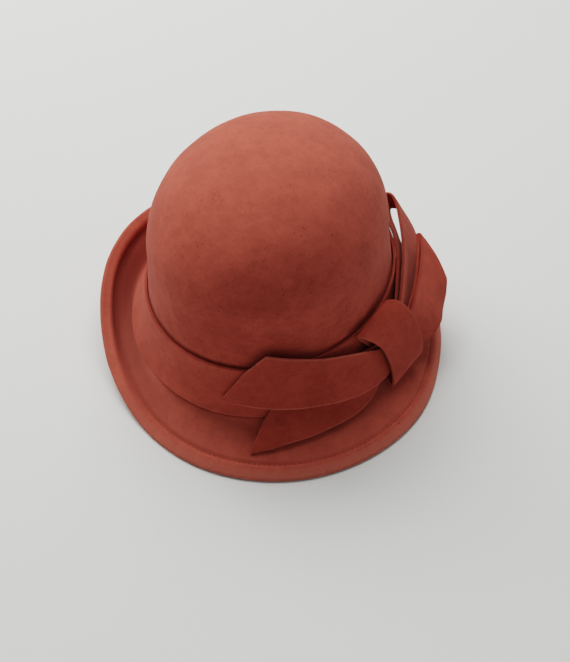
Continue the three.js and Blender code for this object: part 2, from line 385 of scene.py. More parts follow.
def fan(ring: Array, pole: int, flip: bool) -> Array:
    """Triangles from a ring of points to a pole.

    Args:
        ring: the ring's indices in order.
        pole: the pole's index.
        flip: whether the triangles run against the ring.

    Returns:
        Rows of three indices.
    """
    following = np.roll(ring, -1)
    first, second = (following, ring) if flip else (ring, following)
    return np.stack([first, second, np.full(len(ring), pole)], -1)


def outward(points: Array, faces: list[Array]) -> list[Array]:
    """Faces turned round if the closed skin's signed volume, a sum of a . (b x c), is negative.

    Args:
        points: the skin's points.
        faces: blocks of faces, as rows of indices.

    Returns:
        The same blocks, pointing outwards.
    """
    volume = 0.0
    for block in faces:
        for k in range(1, block.shape[1] - 1):
            a, b, c = points[block[:, 0]], points[block[:, k]], points[block[:, k + 1]]
            volume += float(np.einsum("ij,ij->i", a, np.cross(b, c)).sum())
    return [block[:, ::-1] for block in faces] if volume < 0 else faces


def put(name: str, data: Any) -> bpy.types.Object:
    """Makes an object and puts it into the scene."""
    made = bpy.data.objects.new(name, data)
    bpy.context.scene.collection.objects.link(made)
    return made


@dataclass
class Skin:
    """A closed skin of points and faces, in millimetres, with a value at each point that pales the felt
    above nought and paints shade on it below nought.
    """

    points: Array
    faces: list[Array]
    cut: Array

    def mesh(self, name: str) -> bpy.types.Mesh:
        """Makes the mesh in metres, smooth, with its paling_and_painted_shade attribute.

        Args:
            name: the mesh's name.

        Returns:
            The mesh.
        """
        faces = outward(self.points, self.faces)
        counts = np.concatenate([np.full(len(block), block.shape[1]) for block in faces])
        corners = np.concatenate([block.ravel() for block in faces])
        made = bpy.data.meshes.new(name)
        made.vertices.add(len(self.points))
        made.vertices.foreach_set("co", (self.points * MM).ravel())
        made.loops.add(len(corners))
        made.loops.foreach_set("vertex_index", corners)
        made.polygons.add(len(counts))
        made.polygons.foreach_set("loop_start", np.concatenate([[0], np.cumsum(counts)[:-1]]))
        made.polygons.foreach_set("use_smooth", np.ones(len(counts), bool))
        made.update(calc_edges=True)
        made.validate()
        edge = made.attributes.new("paling_and_painted_shade", "FLOAT", "POINT")
        edge.data.foreach_set("value", self.cut.astype(np.float32))
        return made

    def piece(
        self, name: str, material: bpy.types.Material, slot: Slot, nodes: Sequence[str] = ()
    ) -> bpy.types.Object:
        """Makes the object, sets its material and ties it to the frame.

        Args:
            name: the piece's name.
            material: its finish.
            slot: the record's material slot; not used.
            nodes: the CAD nodes that it stands for.

        Returns:
            The finished object.
        """
        mesh = self.mesh(name)
        mesh.materials.append(material)
        made = put(name, mesh)
        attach(made, "root")
        if nodes:
            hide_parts(*nodes)
        log.info("%s: %d points, %d faces", name, len(mesh.vertices), len(mesh.polygons))
        return made


def waves(p: Array, length: float, seed: int, count: int = 6) -> Array:
    """Soft irregular field from about -1 to 1: a sum of sines in random directions.

    Args:
        p: points.
        length: the waves' middling length in millimetres.
        seed: of the random draws.
        count: how many sines.

    Returns:
        One value for each point.
    """
    rng = np.random.default_rng(seed)
    ways = unit(rng.normal(size=(count, 3))) * rng.uniform(0.7, 1.5, (count, 1))
    starts = rng.uniform(0, 2 * math.pi, count)
    loudest = 3.2
    return np.sin(p @ ways.T * (2 * math.pi / length) + starts).sum(-1) / loudest


def ball(rings: int, sides: int) -> tuple[Array, list[Array]]:
    """Sphere of radius one on a grid of two angles, with its poles on the first axis.

    Args:
        rings: rings of points between the poles.
        sides: points in each ring.

    Returns:
        The points, the poles last, and the blocks of faces.
    """
    u = np.radians(np.linspace(0, 180, rings + 2)[1:-1])[:, None]
    v = round_angles(sides)
    shell = np.stack([np.cos(u) + 0 * v, np.sin(u) * np.cos(v), np.sin(u) * np.sin(v)], -1).reshape(-1, 3)
    points = np.concatenate([shell, [[1, 0, 0], [-1, 0, 0]]])
    ring = np.arange(sides)
    caps = [fan(ring, len(shell), True), fan(ring + (rings - 1) * sides, len(shell) + 1, False)]
    return points, [grid_faces(rings, sides, False, True), *caps]


# The hat's form
@dataclass(frozen=True)
class BrimSizes:
    """The brim's sizes at some azimuths, in millimetres, and its slope in radians."""

    reach: Array  # from the oval out to the hat's edge
    rise: Array  # of the edge above the table
    flare: Array  # from the oval out to the band's foot
    foot: Array  # from the band's top down to its foot
    slope: Array  # of the brim at the hat's edge

    def on_meridians(self) -> "BrimSizes":
        """The same sizes with one more axis, for the places along each meridian."""
        return BrimSizes(*(getattr(self, size.name)[:, None] for size in fields(self)))


@dataclass(frozen=True)
class BrimCurve:
    """The brim's top on some meridians, out and up from the oval."""

    points: Array  # of shape (meridian, place, 2)
    centre: Array  # the rounded edge's centre on each meridian
    along: Array  # the brim's direction there
    span: Array  # from the band's foot straight to the edge


@dataclass
class HatForm:
    """The crown's oval, the brim's table and the way the hat stands, in millimetres.

    Points are given by azimuth, radius and height above the band's top line, and place()
    puts them into the frame, where the hat leans on the table.
    """

    felt: float = 2.4  # the body's thickness
    strip_felt: float = 2.0  # the band's and the bow's
    gap: float = 0.3  # between the wall and the band
    hem_depth: float = 10.5  # from the hat's edge to where the folded hem ends
    hem_thick: float = 4.6
    crown_long: float = 204.0  # the oval at the band's top line, outside
    crown_wide: float = 168.0
    crown_height: float = 98.5  # from the band's top line to the top
    wall_height: float = 33.4  # from the band's top line to the dome
    wall_taper: float = 0.031  # share of the oval that the wall loses up to there
    dome_round: float = 0.951  # powers of the dome's cosine and sine
    dome_rise: float = 0.973
    band_height: float = 38.0
    band_flare: float = 8.0
    wall_bend: Pair = (0.25, 0.55)  # pull on the wall's arc, as shares of flare and foot
    brim_reach: float = 40.0
    brim_drop: float = 63.8  # from the band's top line to the table
    turn_up: float = 38.0
    handles: Pair = (0.32, 0.42)  # of the brim's curve, as shares of its span
    curve_length: float = 1.03  # of the brim's curve, as a share of its span
    table_flat: float = 0.5  # how much of the lowest edge is flattened
    lean_side: float = 0.039  # slope of the table to the wearer's left
    lean_back: float = 0.014
    strip_width: float = 38.0
    loose_at: float = -15.0  # azimuth where the band's lower edge runs into the brim
    loose_within: Pair = (66.0, 86.0)  # degrees from there
    middle: Array = field(default_factory=lambda: np.zeros(2))
    # reach / brim_reach, rise / turn_up, flare / band_flare, foot / band_height, slope, every 30 degrees
    brim: tuple[tuple[float, ...], ...] = (
        (0.99, 1, 2.05, 0.93, 47),
        (0.91, 0.42, 1.8, 0.97, 26),
        (0.885, 0.03, 1.25, 0.98, -16),
        (1.022, 0, 1, 1, -26),
        (1.155, 0, 1, 1, -26),
        (1.14, 0, 1, 1, -34),
        (0.942, 0, 1, 1, -42),
        (0.875, 0, 1, 1, -45),
        (0.945, 0, 1, 1, -40),
        (0.98, 0, 1, 1, -34),
        (1.008, 0.54, 1.2, 0.96, -6),
        (1.025, 1.07, 1.7, 0.95, 42),
    )

    def oval(self, phi: Array) -> Array:
        """Radius of the crown's oval at the band's top line."""
        return 1 / np.hypot(np.cos(phi) / (self.crown_wide / 2), np.sin(phi) / (self.crown_long / 2))

    def loose(self, phi: Array) -> Array:
        """1 where the band's lower edge runs into the brim, and 0 where it stands off it."""
        away = np.abs((np.degrees(phi) - self.loose_at + 180) % 360 - 180)
        return 1 - smoothstep(away, *self.loose_within)

    def brim_sizes(self, phi: Array) -> BrimSizes:
        """The brim's sizes, by a closed Catmull-Rom curve through the table.

        Args:
            phi: azimuths.

        Returns:
            The sizes at each azimuth.
        """
        table = np.array(self.brim, float)
        turn = (phi / (2 * math.pi)) % 1
        reach, rise, flare, foot, slope = catmull(table, turn * len(table), True).T
        return BrimSizes(
            reach=reach * self.brim_reach,
            rise=np.maximum(rise, 0) * self.turn_up,
            flare=flare * self.band_flare,
            foot=foot * self.band_height,
            slope=np.radians(slope),
        )

    def wall(self, sizes: BrimSizes, t: Array) -> Array:
        """The wall under the band, a parabola's arc.

        It goes outwards by 2at(1 - t) + t^2 of the flare and down by 2bt(1 - t) + t^2 of the
        foot, with a and b from wall_bend.

        Args:
            sizes: the brim's sizes.
            t: places from 0 at the oval to 1 at the band's foot.

        Returns:
            Points, out and up from the oval.
        """
        bend_out, bend_down = self.wall_bend
        out = 2 * bend_out * sizes.flare * t * (1 - t) + sizes.flare * t * t
        up = -(2 * bend_down * sizes.foot * t * (1 - t) + sizes.foot * t * t)
        return np.stack([out, up], -1)

    def brim_curve(self, phi: Array, t: Array) -> BrimCurve:
        """The brim's top from the band's foot to the rounded edge, a cubic Bezier curve on each meridian.

        Args:
            phi: azimuths, one per meridian.
            t: places along the curve, from 0 to 1.

        Returns:
            The curve on each meridian.
        """
        sizes = self.brim_sizes(phi)
        radius = self.hem_thick / 2
        along = np.stack([np.cos(sizes.slope), np.sin(sizes.slope)], -1)
        reach = self.oval(phi) + sizes.reach
        table = -self.brim_drop + self.lean_side * reach * np.cos(phi) + self.lean_back * reach * np.sin(phi)
        low = radius * (1 - np.abs(along[:, 1])) - self.table_flat
        centre = np.stack([sizes.reach, table + sizes.rise + low], -1) - radius * along
        end = centre + radius * across(along)
        foot = self.wall(sizes, np.ones_like(phi))
        just_above = 0.98
        leave = unit(foot - self.wall(sizes, np.full_like(phi, just_above)))
        span = np.linalg.norm(end - foot, axis=-1, keepdims=True)
        first, second = self.handles
        corners = (foot, foot + first * span * leave, end - second * span * along, end)
        a, b, c, d = (corner[:, None, :] for corner in corners)
        s = t[None, :, None]
        curve = (1 - s) ** 3 * a + 3 * (1 - s) ** 2 * s * b + 3 * (1 - s) * s**2 * c + s**3 * d
        return BrimCurve(curve, centre, along, span[:, 0])

    @property
    def level(self) -> Array:
        """Rotation from the band line's plane to the table's."""
        ax, ay = math.atan(-self.lean_back), math.atan(self.lean_side)
        rx = np.array([[1, 0, 0], [0, math.cos(ax), -math.sin(ax)], [0, math.sin(ax), math.cos(ax)]])
        ry = np.array([[math.cos(ay), 0, math.sin(ay)], [0, 1, 0], [-math.sin(ay), 0, math.cos(ay)]])
        return rx @ ry

    def stand(self, points: Array) -> Array:
        """Moves points from the band line's frame to the table's."""
        lifted = points + np.array([0, 0, self.brim_drop])
        return lifted @ self.level.T - np.array([*self.middle, 0])

    def place(self, phi: Array, radius: Array, up: Array) -> Array:
        """Points by azimuth, radius and height above the band's top line."""
        return self.stand(np.stack(np.broadcast_arrays(radius * np.cos(phi), radius * np.sin(phi), up), -1))

    def beside(self, edge: Array) -> Array:
        """Points from rows of azimuth in degrees, distance out from the oval, and height."""
        phi = np.radians(edge[:, 0])
        return self.place(phi, self.oval(phi) + edge[:, 1], edge[:, 2])

    def centre_on(self, low: Vector, high: Vector) -> None:
        """Finds the middle that puts the widest outline where the CAD's box is.

        Args:
            low: the box's lower corner in metres.
            high: its upper corner.
        """
        phi = round_angles(720)
        tip = self.brim_curve(phi, np.ones(1)).centre
        rim = self.place(phi, self.oval(phi) + tip[:, 0] + self.hem_thick / 2, tip[:, 1])
        middle = (rim[:, :2].max(0) + rim[:, :2].min(0)) / 2
        self.middle = middle - np.array([low.x + high.x, low.y + high.y]) / 2 / MM


# Felt body
@dataclass(frozen=True)
class Outline:
    """The body's outer side on some meridians, by radius and height above the band's top line."""

    outer: Array  # of shape (meridian, row, 2), from near the pole to the rim
    thick: Array  # the felt's thickness at each of those points
    centre: Array  # the rounded edge's centre on each meridian
    along: Array  # the brim's direction there
    tone: Array  # painted shade of the brim's rows, below nought


@dataclass
class FeltBody:
    """The blocked body: dome, wall, brim and folded hem as one closed skin round the hat."""

    form: HatForm
    around: int = 300
    dome_rows: int = 54
    taper_rows: int = 13  # of the wall above the band
    wall_rows: int = 16  # of the wall under it
    brim_rows: int = 74
    nose_rows: int = 9  # round the edge
    rim_rows: int = 8  # rows on each side of the edge that take the rim's tone
    dome_from: float = 88.2  # degrees, next to the pole
    tuck: float = 0.7  # how far the crown draws in along the band's top edge
    tuck_high: float = 3.2
    stitch_inset: float = 9.4  # from the hat's edge to the hem's stitch line
    groove: float = 0.85
    groove_wide: float = 1.3
    puff: float = 0.6  # how far the hem swells
    hem_step: float = 0.6  # width of the step at its inner end
    turned: float = 1.3  # how much deeper the hem's groove is where the brim turns up
    turned_at: float = 6.0  # azimuth in the middle of the turned-up side
    crease: float = 0.8  # how deep the band's lower edge presses into the felt
    crease_at: float = 0.5  # from the band's foot
    crease_wide: float = 0.8
    valley_painted_shade: float = 1.0  # painted shade: how much darker the felt is in the turned-up brim's valley
    valley_from: Pair = (4.0, 8.0)  # from the hat's edge
    valley_to: Pair = (20.0, 30.0)
    # painted shade in the hem's groove on the turned-up side
    groove_painted_shade: float = 0.3
    groove_tone_wide: float = 1.4
    tone_shift: float = 0.55  # how pale the rim's edge is
    rim_shade: float = 0.28  # painted shade: how dark the rim's edge is on the turned-up side
    dent: float = 0.35  # depth of the dents
    dents: tuple[tuple[float, float, int], ...] = ((0.6, 75, 3), (0.4, 34, 5))  # share, length and seed
    dent_middle: float = 60.0  # height that the dents face
    dent_fade: Pair = (1.5, 14)  # heights where they come in
    line_samples: int = 4000
    stitch_pitch: float = 3.4
    stitch_long: float = 2.0
    stitch_wide: float = 0.5
    stitch_sunk: float = 0.02

    def turned_side(self, phi: Array) -> Array:
        """From 0 on the wearer's right to 1 on the turned-up side, by a cosine, in one column."""
        return 0.5 + 0.5 * np.cos(phi - math.radians(self.turned_at))[:, None]

    def crown(self, phi: Array) -> Array:
        """Dome and wall above the band.

        The dome is a superellipse, cosine and sine to the powers dome_round and dome_rise. The
        wall eases into it by u + u^2 - u^3, and draws in along the band's edge by a bell curve.

        Args:
            phi: azimuths.

        Returns:
            Points of shape (phi, row, 2), by radius and height.
        """
        f = self.form
        a = np.radians(np.linspace(self.dome_from, 0, self.dome_rows))
        dome_share = (1 - f.wall_taper) * np.cos(a) ** f.dome_round
        dome_up = f.wall_height + (f.crown_height - f.wall_height) * np.sin(a) ** f.dome_rise
        u = np.linspace(1, 0, self.taper_rows + 1)[1:]
        share = np.concatenate([dome_share, 1 - f.wall_taper * (u + u**2 - u**3)])
        up = np.concatenate([dome_up, f.wall_height * u])
        radius = f.oval(phi)[:, None] * share - self.tuck * bell(up, self.tuck_high)
        return np.stack([radius, np.broadcast_to(up, radius.shape)], -1)

    def profile(self, phi: Array) -> Outline:
        """Outer side of every meridian, from near the pole to the rim.

        On the brim the stitch line sinks the surface by a bell curve, the hem outside it swells
        by a half sine, and the band's lower edge presses in by another bell curve.

        Args:
            phi: azimuths.

        Returns:
            The outline on each meridian.
        """
        f = self.form
        t = np.linspace(0, 1, self.wall_rows + 1)[1:-1]
        wall = f.wall(f.brim_sizes(phi).on_meridians(), t[None, :])
        s = np.linspace(0, 1, self.brim_rows)
        brim = f.brim_curve(phi, s)
        length = f.curve_length * brim.span[:, None]
        inset = (1 - s)[None, :] * length + f.hem_thick / 2
        side = self.turned_side(phi)
        more = 1 + self.turned * side**3
        groove = self.groove * more * bell(inset - self.stitch_inset, self.groove_wide * more)
        hem = np.clip((self.stitch_inset - inset) / (self.stitch_inset - f.hem_thick / 2), 0, 1)
        pressed = self.crease * bell(s[None, :] * length - self.crease_at, self.crease_wide)
        pressed = pressed * (1 - f.loose(phi))[:, None]
        lift = self.puff * more * np.sin(math.pi * hem) - groove - pressed
        # painted shade on the turned-up side: the valley and the hem's groove darker
        valley = smoothstep(inset, *self.valley_from) * (1 - smoothstep(inset, *self.valley_to))
        shaded = self.groove_painted_shade * bell(inset - self.stitch_inset, self.groove_tone_wide)
        tone = -(valley * self.valley_painted_shade + shaded) * side**6
        normal = across(unit(np.gradient(brim.points, axis=1)))
        from_oval = np.stack([f.oval(phi), 0 * phi], -1)
        low = np.concatenate([wall, brim.points + normal * lift[..., None]], 1) + from_oval[:, None]
        outer = np.concatenate([self.crown(phi), low], 1)
        thick = np.full(outer.shape[:2], f.felt)
        double = smoothstep(f.hem_depth - inset, 0, self.hem_step)
        thick[:, -self.brim_rows:] += (f.hem_thick - f.felt) * double
        return Outline(outer, thick, brim.centre + from_oval, brim.along, tone)

    def skin(self) -> Skin:
        """The closed skin: outer side, rounded edge, inner side and a pole at each end.

        Returns:
            The skin, with the rim's paler edge and painted shade in the turned-up brim's valley, hem groove
            and rim.
        """
        f = self.form
        phi = round_angles(self.around)
        line = self.profile(phi)
        inward = -across(unit(np.gradient(line.outer, axis=1)))
        inner = line.outer + inward * line.thick[..., None]
        turns = np.radians(np.linspace(90, -90, self.nose_rows + 2)[1:-1])[None, :, None]
        ahead, above = line.along[:, None], across(line.along)[:, None]
        nose = line.centre[:, None] + f.hem_thick / 2 * (ahead * np.cos(turns) + above * np.sin(turns))
        loop = np.concatenate([line.outer, nose, inner[:, ::-1]], 1)
        points = self.weather(f.place(phi[:, None], loop[..., 0], loop[..., 1]))
        points[..., 2] = np.maximum(points[..., 2], 0)
        poles = f.place(np.zeros(2), np.zeros(2), np.array([f.crown_height, f.crown_height - f.felt]))
        rows = loop.shape[1]
        count = self.around * rows
        first = np.arange(self.around) * rows
        caps = [fan(first, count, False), fan(first + rows - 1, count + 1, True)]
        faces = [grid_faces(self.around, rows, True, False), *caps]
        rim = line.outer.shape[1]
        tone_shift = np.zeros(loop.shape[:2])
        tone_shift[:, rim - self.brim_rows:rim] = line.tone
        side = self.turned_side(phi)
        # the rim's edge paler, with painted shade on it on the turned-up side
        rolled = self.tone_shift * (1 - side**2) - self.rim_shade * side**6
        width = self.nose_rows + 2 * self.rim_rows
        start = rim - self.rim_rows
        tone_shift[:, start:start + width] += rolled * np.sqrt(np.sin(np.linspace(0, math.pi, width)))
        flat = np.concatenate([points.reshape(-1, 3), poles])
        return Skin(flat, faces, np.concatenate([tone_shift.ravel(), np.zeros(2)]))

    def weather(self, points: Array) -> Array:
        """Shallow dents of hand-blocked felt, the same on both sides of the wall.

        Args:
            points: points in the frame.

        Returns:
            The points, moved in or out by soft fields.
        """
        depth = self.dent * sum(share * waves(points, length, seed) for share, length, seed in self.dents)
        fade = smoothstep(points[..., 2], *self.dent_fade)
        return points + unit(points - np.array([0, 0, self.dent_middle])) * (depth * fade)[..., None]

    def stitch_line(self) -> tuple[Array, Array]:
        """The hem's stitch line, and the way out to the rim beside it.

        Returns:
            Points round the hat, and a vector for each.
        """
        f = self.form
        phi = round_angles(self.line_samples)
        brim = self.profile(phi).outer[:, -self.brim_rows:]
        span = f.brim_curve(phi, np.ones(1)).span
        share = 1 - (self.stitch_inset - f.hem_thick / 2) / (f.curve_length * span)
        k = share * (self.brim_rows - 1)
        low = np.floor(k).astype(int)
        pick = np.arange(len(phi))
        a, b = brim[pick, low], brim[pick, np.minimum(low + 1, self.brim_rows - 1)]
        at = a + (b - a) * (k - low)[:, None]
        beyond = at + unit(b - a)
        line = self.weather(f.place(phi, at[:, 0], at[:, 1]))
        return line, self.weather(f.place(phi, beyond[:, 0], beyond[:, 1])) - line

    def stitches(self) -> Skin:
        """The hem's running stitches: short threads laid in the groove, half sunk into the felt.

        Each thread is an ellipsoid, a grid of two angles, whose long axis follows the stitch line.

        Returns:
            One skin with all the threads.
        """
        line, out = self.stitch_line()
        length = np.concatenate([[0], np.cumsum(np.linalg.norm(np.roll(line, -1, 0) - line, axis=1))])
        count = int(length[-1] / self.stitch_pitch)
        where = (np.arange(count) + 0.5) * length[-1] / count
        index = np.searchsorted(length, where) % len(line)
        near = 3
        ahead = unit(np.roll(line, -near, 0) - np.roll(line, near, 0))[index]
        side = unit(out)[index]
        normal = unit(np.cross(ahead, side))
        normal *= np.sign(normal[:, 2:3])
        shell, blocks = ball(rings=5, sides=6)
        half = np.array([self.stitch_long, self.stitch_wide, self.stitch_wide]) / 2
        centres = line[index] - normal * self.stitch_sunk
        points = (shell * half) @ np.stack([ahead, side, normal], 1) + centres[:, None, :]
        n = len(shell)
        shift = (np.arange(count) * n)[:, None, None]
        faces = [(block[None] + shift).reshape(-1, block.shape[1]) for block in blocks]
        return Skin(points.reshape(-1, 3), faces, np.zeros(count * n))


# Felt strips
def strip_section(columns: int, thick: float, bevel: float) -> tuple[Array, ...]:
    """Section of a felt strip: two flat sides and two cut edges with rounded corners.

    Args:
        columns: points on each flat side.
        thick: the strip's thickness.
        bevel: radius of the corners.

    Returns:
        Share across the strip, inset from the edges (positive from the first edge), height from
        the middle layer, and 1 on a cut edge.
    """
    turn = np.radians(np.array([0, 30, 60, 90]))
    inset, lift = bevel * (1 - np.sin(turn)), thick / 2 - bevel * (1 - np.cos(turn))
    edge = np.concatenate([inset, [0.0], inset[::-1]])
    rise = np.concatenate([lift, [0.0], -lift[::-1]])
    w = np.linspace(0, 1, columns + 2)[1:-1]
    ones, flat = np.ones(len(edge)), np.zeros(columns)
    share = np.concatenate([w, ones, w[::-1], 0 * ones])
    shift = np.concatenate([flat, -edge, flat, edge])
    height = np.concatenate([flat + thick / 2, rise, flat - thick / 2, -rise])
    cut = np.concatenate([flat, ones, flat, ones])
    return share, shift, height, cut


@dataclass
class Strip:
    """A felt strip ruled between two edges, given by rows beside the crown.

    Each row holds one edge's azimuth in degrees, its distance out from the crown's oval and its
    height above the band's top line, then the other edge's. The middle layer bulges between its
    edges by 4w(1 - w).
    """

    form: HatForm
    rows: tuple[tuple[float, ...], ...]
    between: int = 14  # steps from row to row
    columns: int = 22
    ring: bool = False  # closed
    straight: int = 0  # rows after which the edges curve
    swell: float = 0.0  # bulge, share of the width
    bevel: float = 0.45
    ripple: float = 0.25
    ripple_length: float = 26.0
    narrowest: float = 0.5
    widest_bevel: float = 0.45  # share of the width
    pale: float = 0.2  # how pale the cut edges are; below nought, painted shade on them instead
    seed: int = 1

    def edges(self) -> Array:
        """Both edges, straight between the first rows and curved after them.

        Returns:
            Points of shape (place, 2, 3).
        """
        table = np.array(self.rows, float)
        ends = np.stack([self.form.beside(table[:, :3]), self.form.beside(table[:, 3:])], 1)
        spans = len(ends) if self.ring else len(ends) - 1
        at = np.arange(spans * self.between + (0 if self.ring else 1)) / self.between
        if not self.straight:
            return catmull(ends, at, self.ring)
        early = at[at < self.straight]
        k = np.minimum(early.astype(int), self.straight - 1)
        cut = ends[k] + (ends[k + 1] - ends[k]) * (early - k)[:, None, None]
        rest = catmull(ends[self.straight:], at[at >= self.straight] - self.straight, False)
        return np.concatenate([cut, rest])

    def skin(self) -> Skin:
        """The closed skin of the strip: its section carried along both edges.

        Returns:
            The skin.
        """
        f = self.form
        lines = self.edges()
        n = len(lines)
        share, shift, height, cut = strip_section(self.columns, f.strip_felt, self.bevel)
        m = len(share)
        low, high = lines[:, None, 0], lines[:, None, 1]
        width = np.linalg.norm(lines[:, 1] - lines[:, 0], axis=-1)[:, None]
        inset = np.clip(shift / np.maximum(width, self.narrowest), -self.widest_bevel, self.widest_bevel)
        w = (share + inset)[..., None]
        points = low + (high - low) * w
        s = np.linspace(0, 1, n)[:, None, None]
        outwards = unit(points * np.array([1, 1, 0.0]))
        points = points + outwards * 4 * w * (1 - w) * self.swell * np.sin(math.pi * s) ** 2 * f.strip_width
        ripple = self.ripple * waves(points, self.ripple_length, self.seed)
        points = points + outwards * ripple[..., None] * 4 * w * (1 - w)
        if self.ring:
            along = np.roll(points, -1, 0) - np.roll(points, 1, 0)
        else:
            along = np.gradient(points, axis=0)
        normal = unit(np.cross(along, high - low + 0 * points))
        points = points + normal * height[None, :, None]
        values = np.broadcast_to(cut * self.pale, (n, m)).ravel()
        faces = grid_faces(n, m, self.ring, True)
        if self.ring:
            return Skin(points.reshape(-1, 3), [faces], values)
        ends = np.stack([points[0].mean(0), points[-1].mean(0)])
        caps = [fan(np.arange(m), n * m, True), fan(np.arange(m) + (n - 1) * m, n * m + 1, False)]
        flat = np.concatenate([points.reshape(-1, 3), ends])
        return Skin(flat, [faces, *caps], np.concatenate([values, [self.pale] * 2]))


@dataclass
class CrownBand:
    """The band: a closed strip round the wall that thins into the brim on the wearer's left."""

    form: HatForm
    around: int = 360
    columns: int = 34
    bevel: float = 0.35
    down_to: float = 0.965  # share of the wall that the band covers
    proud: float = 0.25  # how far its top edge stands off
    proud_to: float = 0.16
    lower_proud: float = 0.2
    lower_from: float = 0.8
    thinned: float = 0.8  # share of its thickness lost on the left
    thinned_from: float = 0.55
    pale: float = 0.4  # how pale its lower cut edge is
    pale_from: Pair = (0.5, 0.9)
    top_shade: float = 0.35  # painted shade: how dark its top edge is
    top_shade_to: float = 0.03

    def skin(self) -> Skin:
        """Section carried round the oval, standing off the wall's surface along its normal.

        Returns:
            The closed skin.
        """
        f = self.form
        phi = round_angles(self.around)
        sizes = f.brim_sizes(phi).on_meridians()
        share, shift, height, cut = strip_section(self.columns, f.strip_felt, self.bevel)
        t = np.clip(self.down_to * (share + shift / f.band_height)[None, :], 0, self.down_to)
        step = 0.01
        normal = across(unit(f.wall(sizes, t + step) - f.wall(sizes, t - step)))
        loose = f.loose(phi)[:, None]
        blend = loose * smoothstep(t, self.thinned_from, self.down_to)
        left = 1 - self.thinned * blend
        half = f.strip_felt / 2
        stand = f.gap + half + height[None, :] * left - half * self.thinned * blend
        stand = stand + self.proud * (1 - smoothstep(t, 0, self.proud_to)) * (1 - blend)
        stand = stand + self.lower_proud * smoothstep(t, self.lower_from, self.down_to) * (1 - loose)
        point = f.wall(sizes, t) + normal * stand[..., None]
        points = f.place(phi[:, None], f.oval(phi)[:, None] + point[..., 0], point[..., 1])
        low = np.broadcast_to(cut * smoothstep(t, *self.pale_from), points.shape[:2])
        # pale lower cut edge, and painted shade along the top edge
        values = low * self.pale * (1 - loose) - self.top_shade * (1 - smoothstep(t, 0, self.top_shade_to))
        return Skin(points.reshape(-1, 3), [grid_faces(*points.shape[:2], True, True)], values.ravel())


KNOT = (
    (140.8, 6, 1.2, 164, 5.2, 3.2),
    (144.8, 10, -2.8, 167.6, 12.5, 2),
    (149.2, 16, -12, 169.2, 21.8, -8.8),
    (151.6, 20.4, -26.4, 169.7, 27.4, -24),
    (151.6, 24, -41, 169.2, 29.4, -38.8),
    (151.6, 22.6, -48.4, 168.5, 25.2, -46.2),
    (152.6, 14.4, -42, 168, 15, -41.8),
    (151.6, 10.4, -32, 167, 10.6, -31),
    (147.6, 6.95, -15.5, 165.6, 7.2, -14),
)
LOOP_UPPER = (
    (163, 9.2, -9, 163, 12, -27),
    (170, 8.6, -3, 170, 12, -28),
    (184, 4.6, 0.5, 183, 10.9, -29),
    (198, 3.6, 1.8, 196, 10.9, -29),
    (211, 3, 3, 208.5, 11.4, -21),
    (220, 1.9, 4.6, 218, 9.6, -11),
    (227.2, 3.3, 8.4, 225.4, 9.4, -4),
    (230.6, 10.2, 10.2, 228.8, 13.2, -3),
    (228.5, 13.6, 9.6, 226.4, 20.6, -6),
    (224, 13.2, 7, 221.5, 26.2, -19),
    (217.5, 10.8, 4.5, 215, 25, -24),
    (208, 8.6, 3, 205, 19.8, -25),
    (196, 7.5, 3, 195, 15.6, -26),
    (184, 8.2, 2, 184, 14, -26),
    (170, 11.6, -2.5, 171, 15, -27),
    (163, 11.8, -9, 163, 14.6, -27),
)
LOOP_LOWER = (
    (163, 15.2, -13, 163, 18.9, -36),
    (170, 15.9, -15, 170, 20, -38.5),
    (184, 15.7, -15, 181, 26, -44),
    (197, 17.6, -13, 189, 29.5, -43.5),
    (207, 20.2, -10, 195, 32.5, -38.5),
    (212.6, 21.8, -7, 199.4, 36.6, -31.5),
    (212.4, 24.2, -7, 199.2, 39.6, -29.5),
    (206, 22.8, -8.5, 194.4, 38.6, -33),
    (197, 20.2, -10, 188.6, 36.6, -36.8),
    (185, 18, -11, 182, 36.2, -38),
    (174, 18.8, -12, 175, 31, -39.8),
    (167, 17.8, -13, 168, 23.6, -38),
    (163, 17.2, -13.5, 163, 21.5, -36),
)
TAIL_UPPER = (
    (87, 8.3, -23, 86.8, 8.4, -23.7),
    (95, 5, 0.2, 91.5, 9.2, -25.2),
    (103, 4, 14.6, 97.5, 11.4, -24.6),
    (109, 4.3, 11.2, 105.5, 13.4, -25.8),
    (116, 4.8, 6.9, 113, 15.4, -27.2),
    (124, 5.8, 1.2, 121, 17, -29.2),
    (133, 8.4, -3.4, 129, 18.6, -32.4),
    (144, 10.8, -11.4, 138.5, 20.2, -35.4),
    (152, 13.2, -18.4, 149, 20.2, -37.4),
    (158.5, 14.2, -20.6, 157.5, 19.4, -36),
)
TAIL_LOWER = (
    (97.4, 27.4, -51.2, 97.6, 28.2, -51.8),
    (101, 13.5, -38.2, 103.5, 26.2, -50.6),
    (103.8, 9.9, -29.4, 109, 24.4, -49.2),
    (111, 9.9, -29.6, 116, 23.2, -48.8),
    (119, 9.6, -28, 123.4, 22.4, -48),
    (127, 8.4, -22, 129.5, 22.2, -48),
    (134, 7.2, -15, 135.5, 21.4, -47.6),
    (142, 8, -13, 142, 19.6, -46),
    (150, 9.6, -14.4, 148.8, 16.2, -41),
    (156, 10.2, -15.8, 155.5, 14.8, -36.5),
)


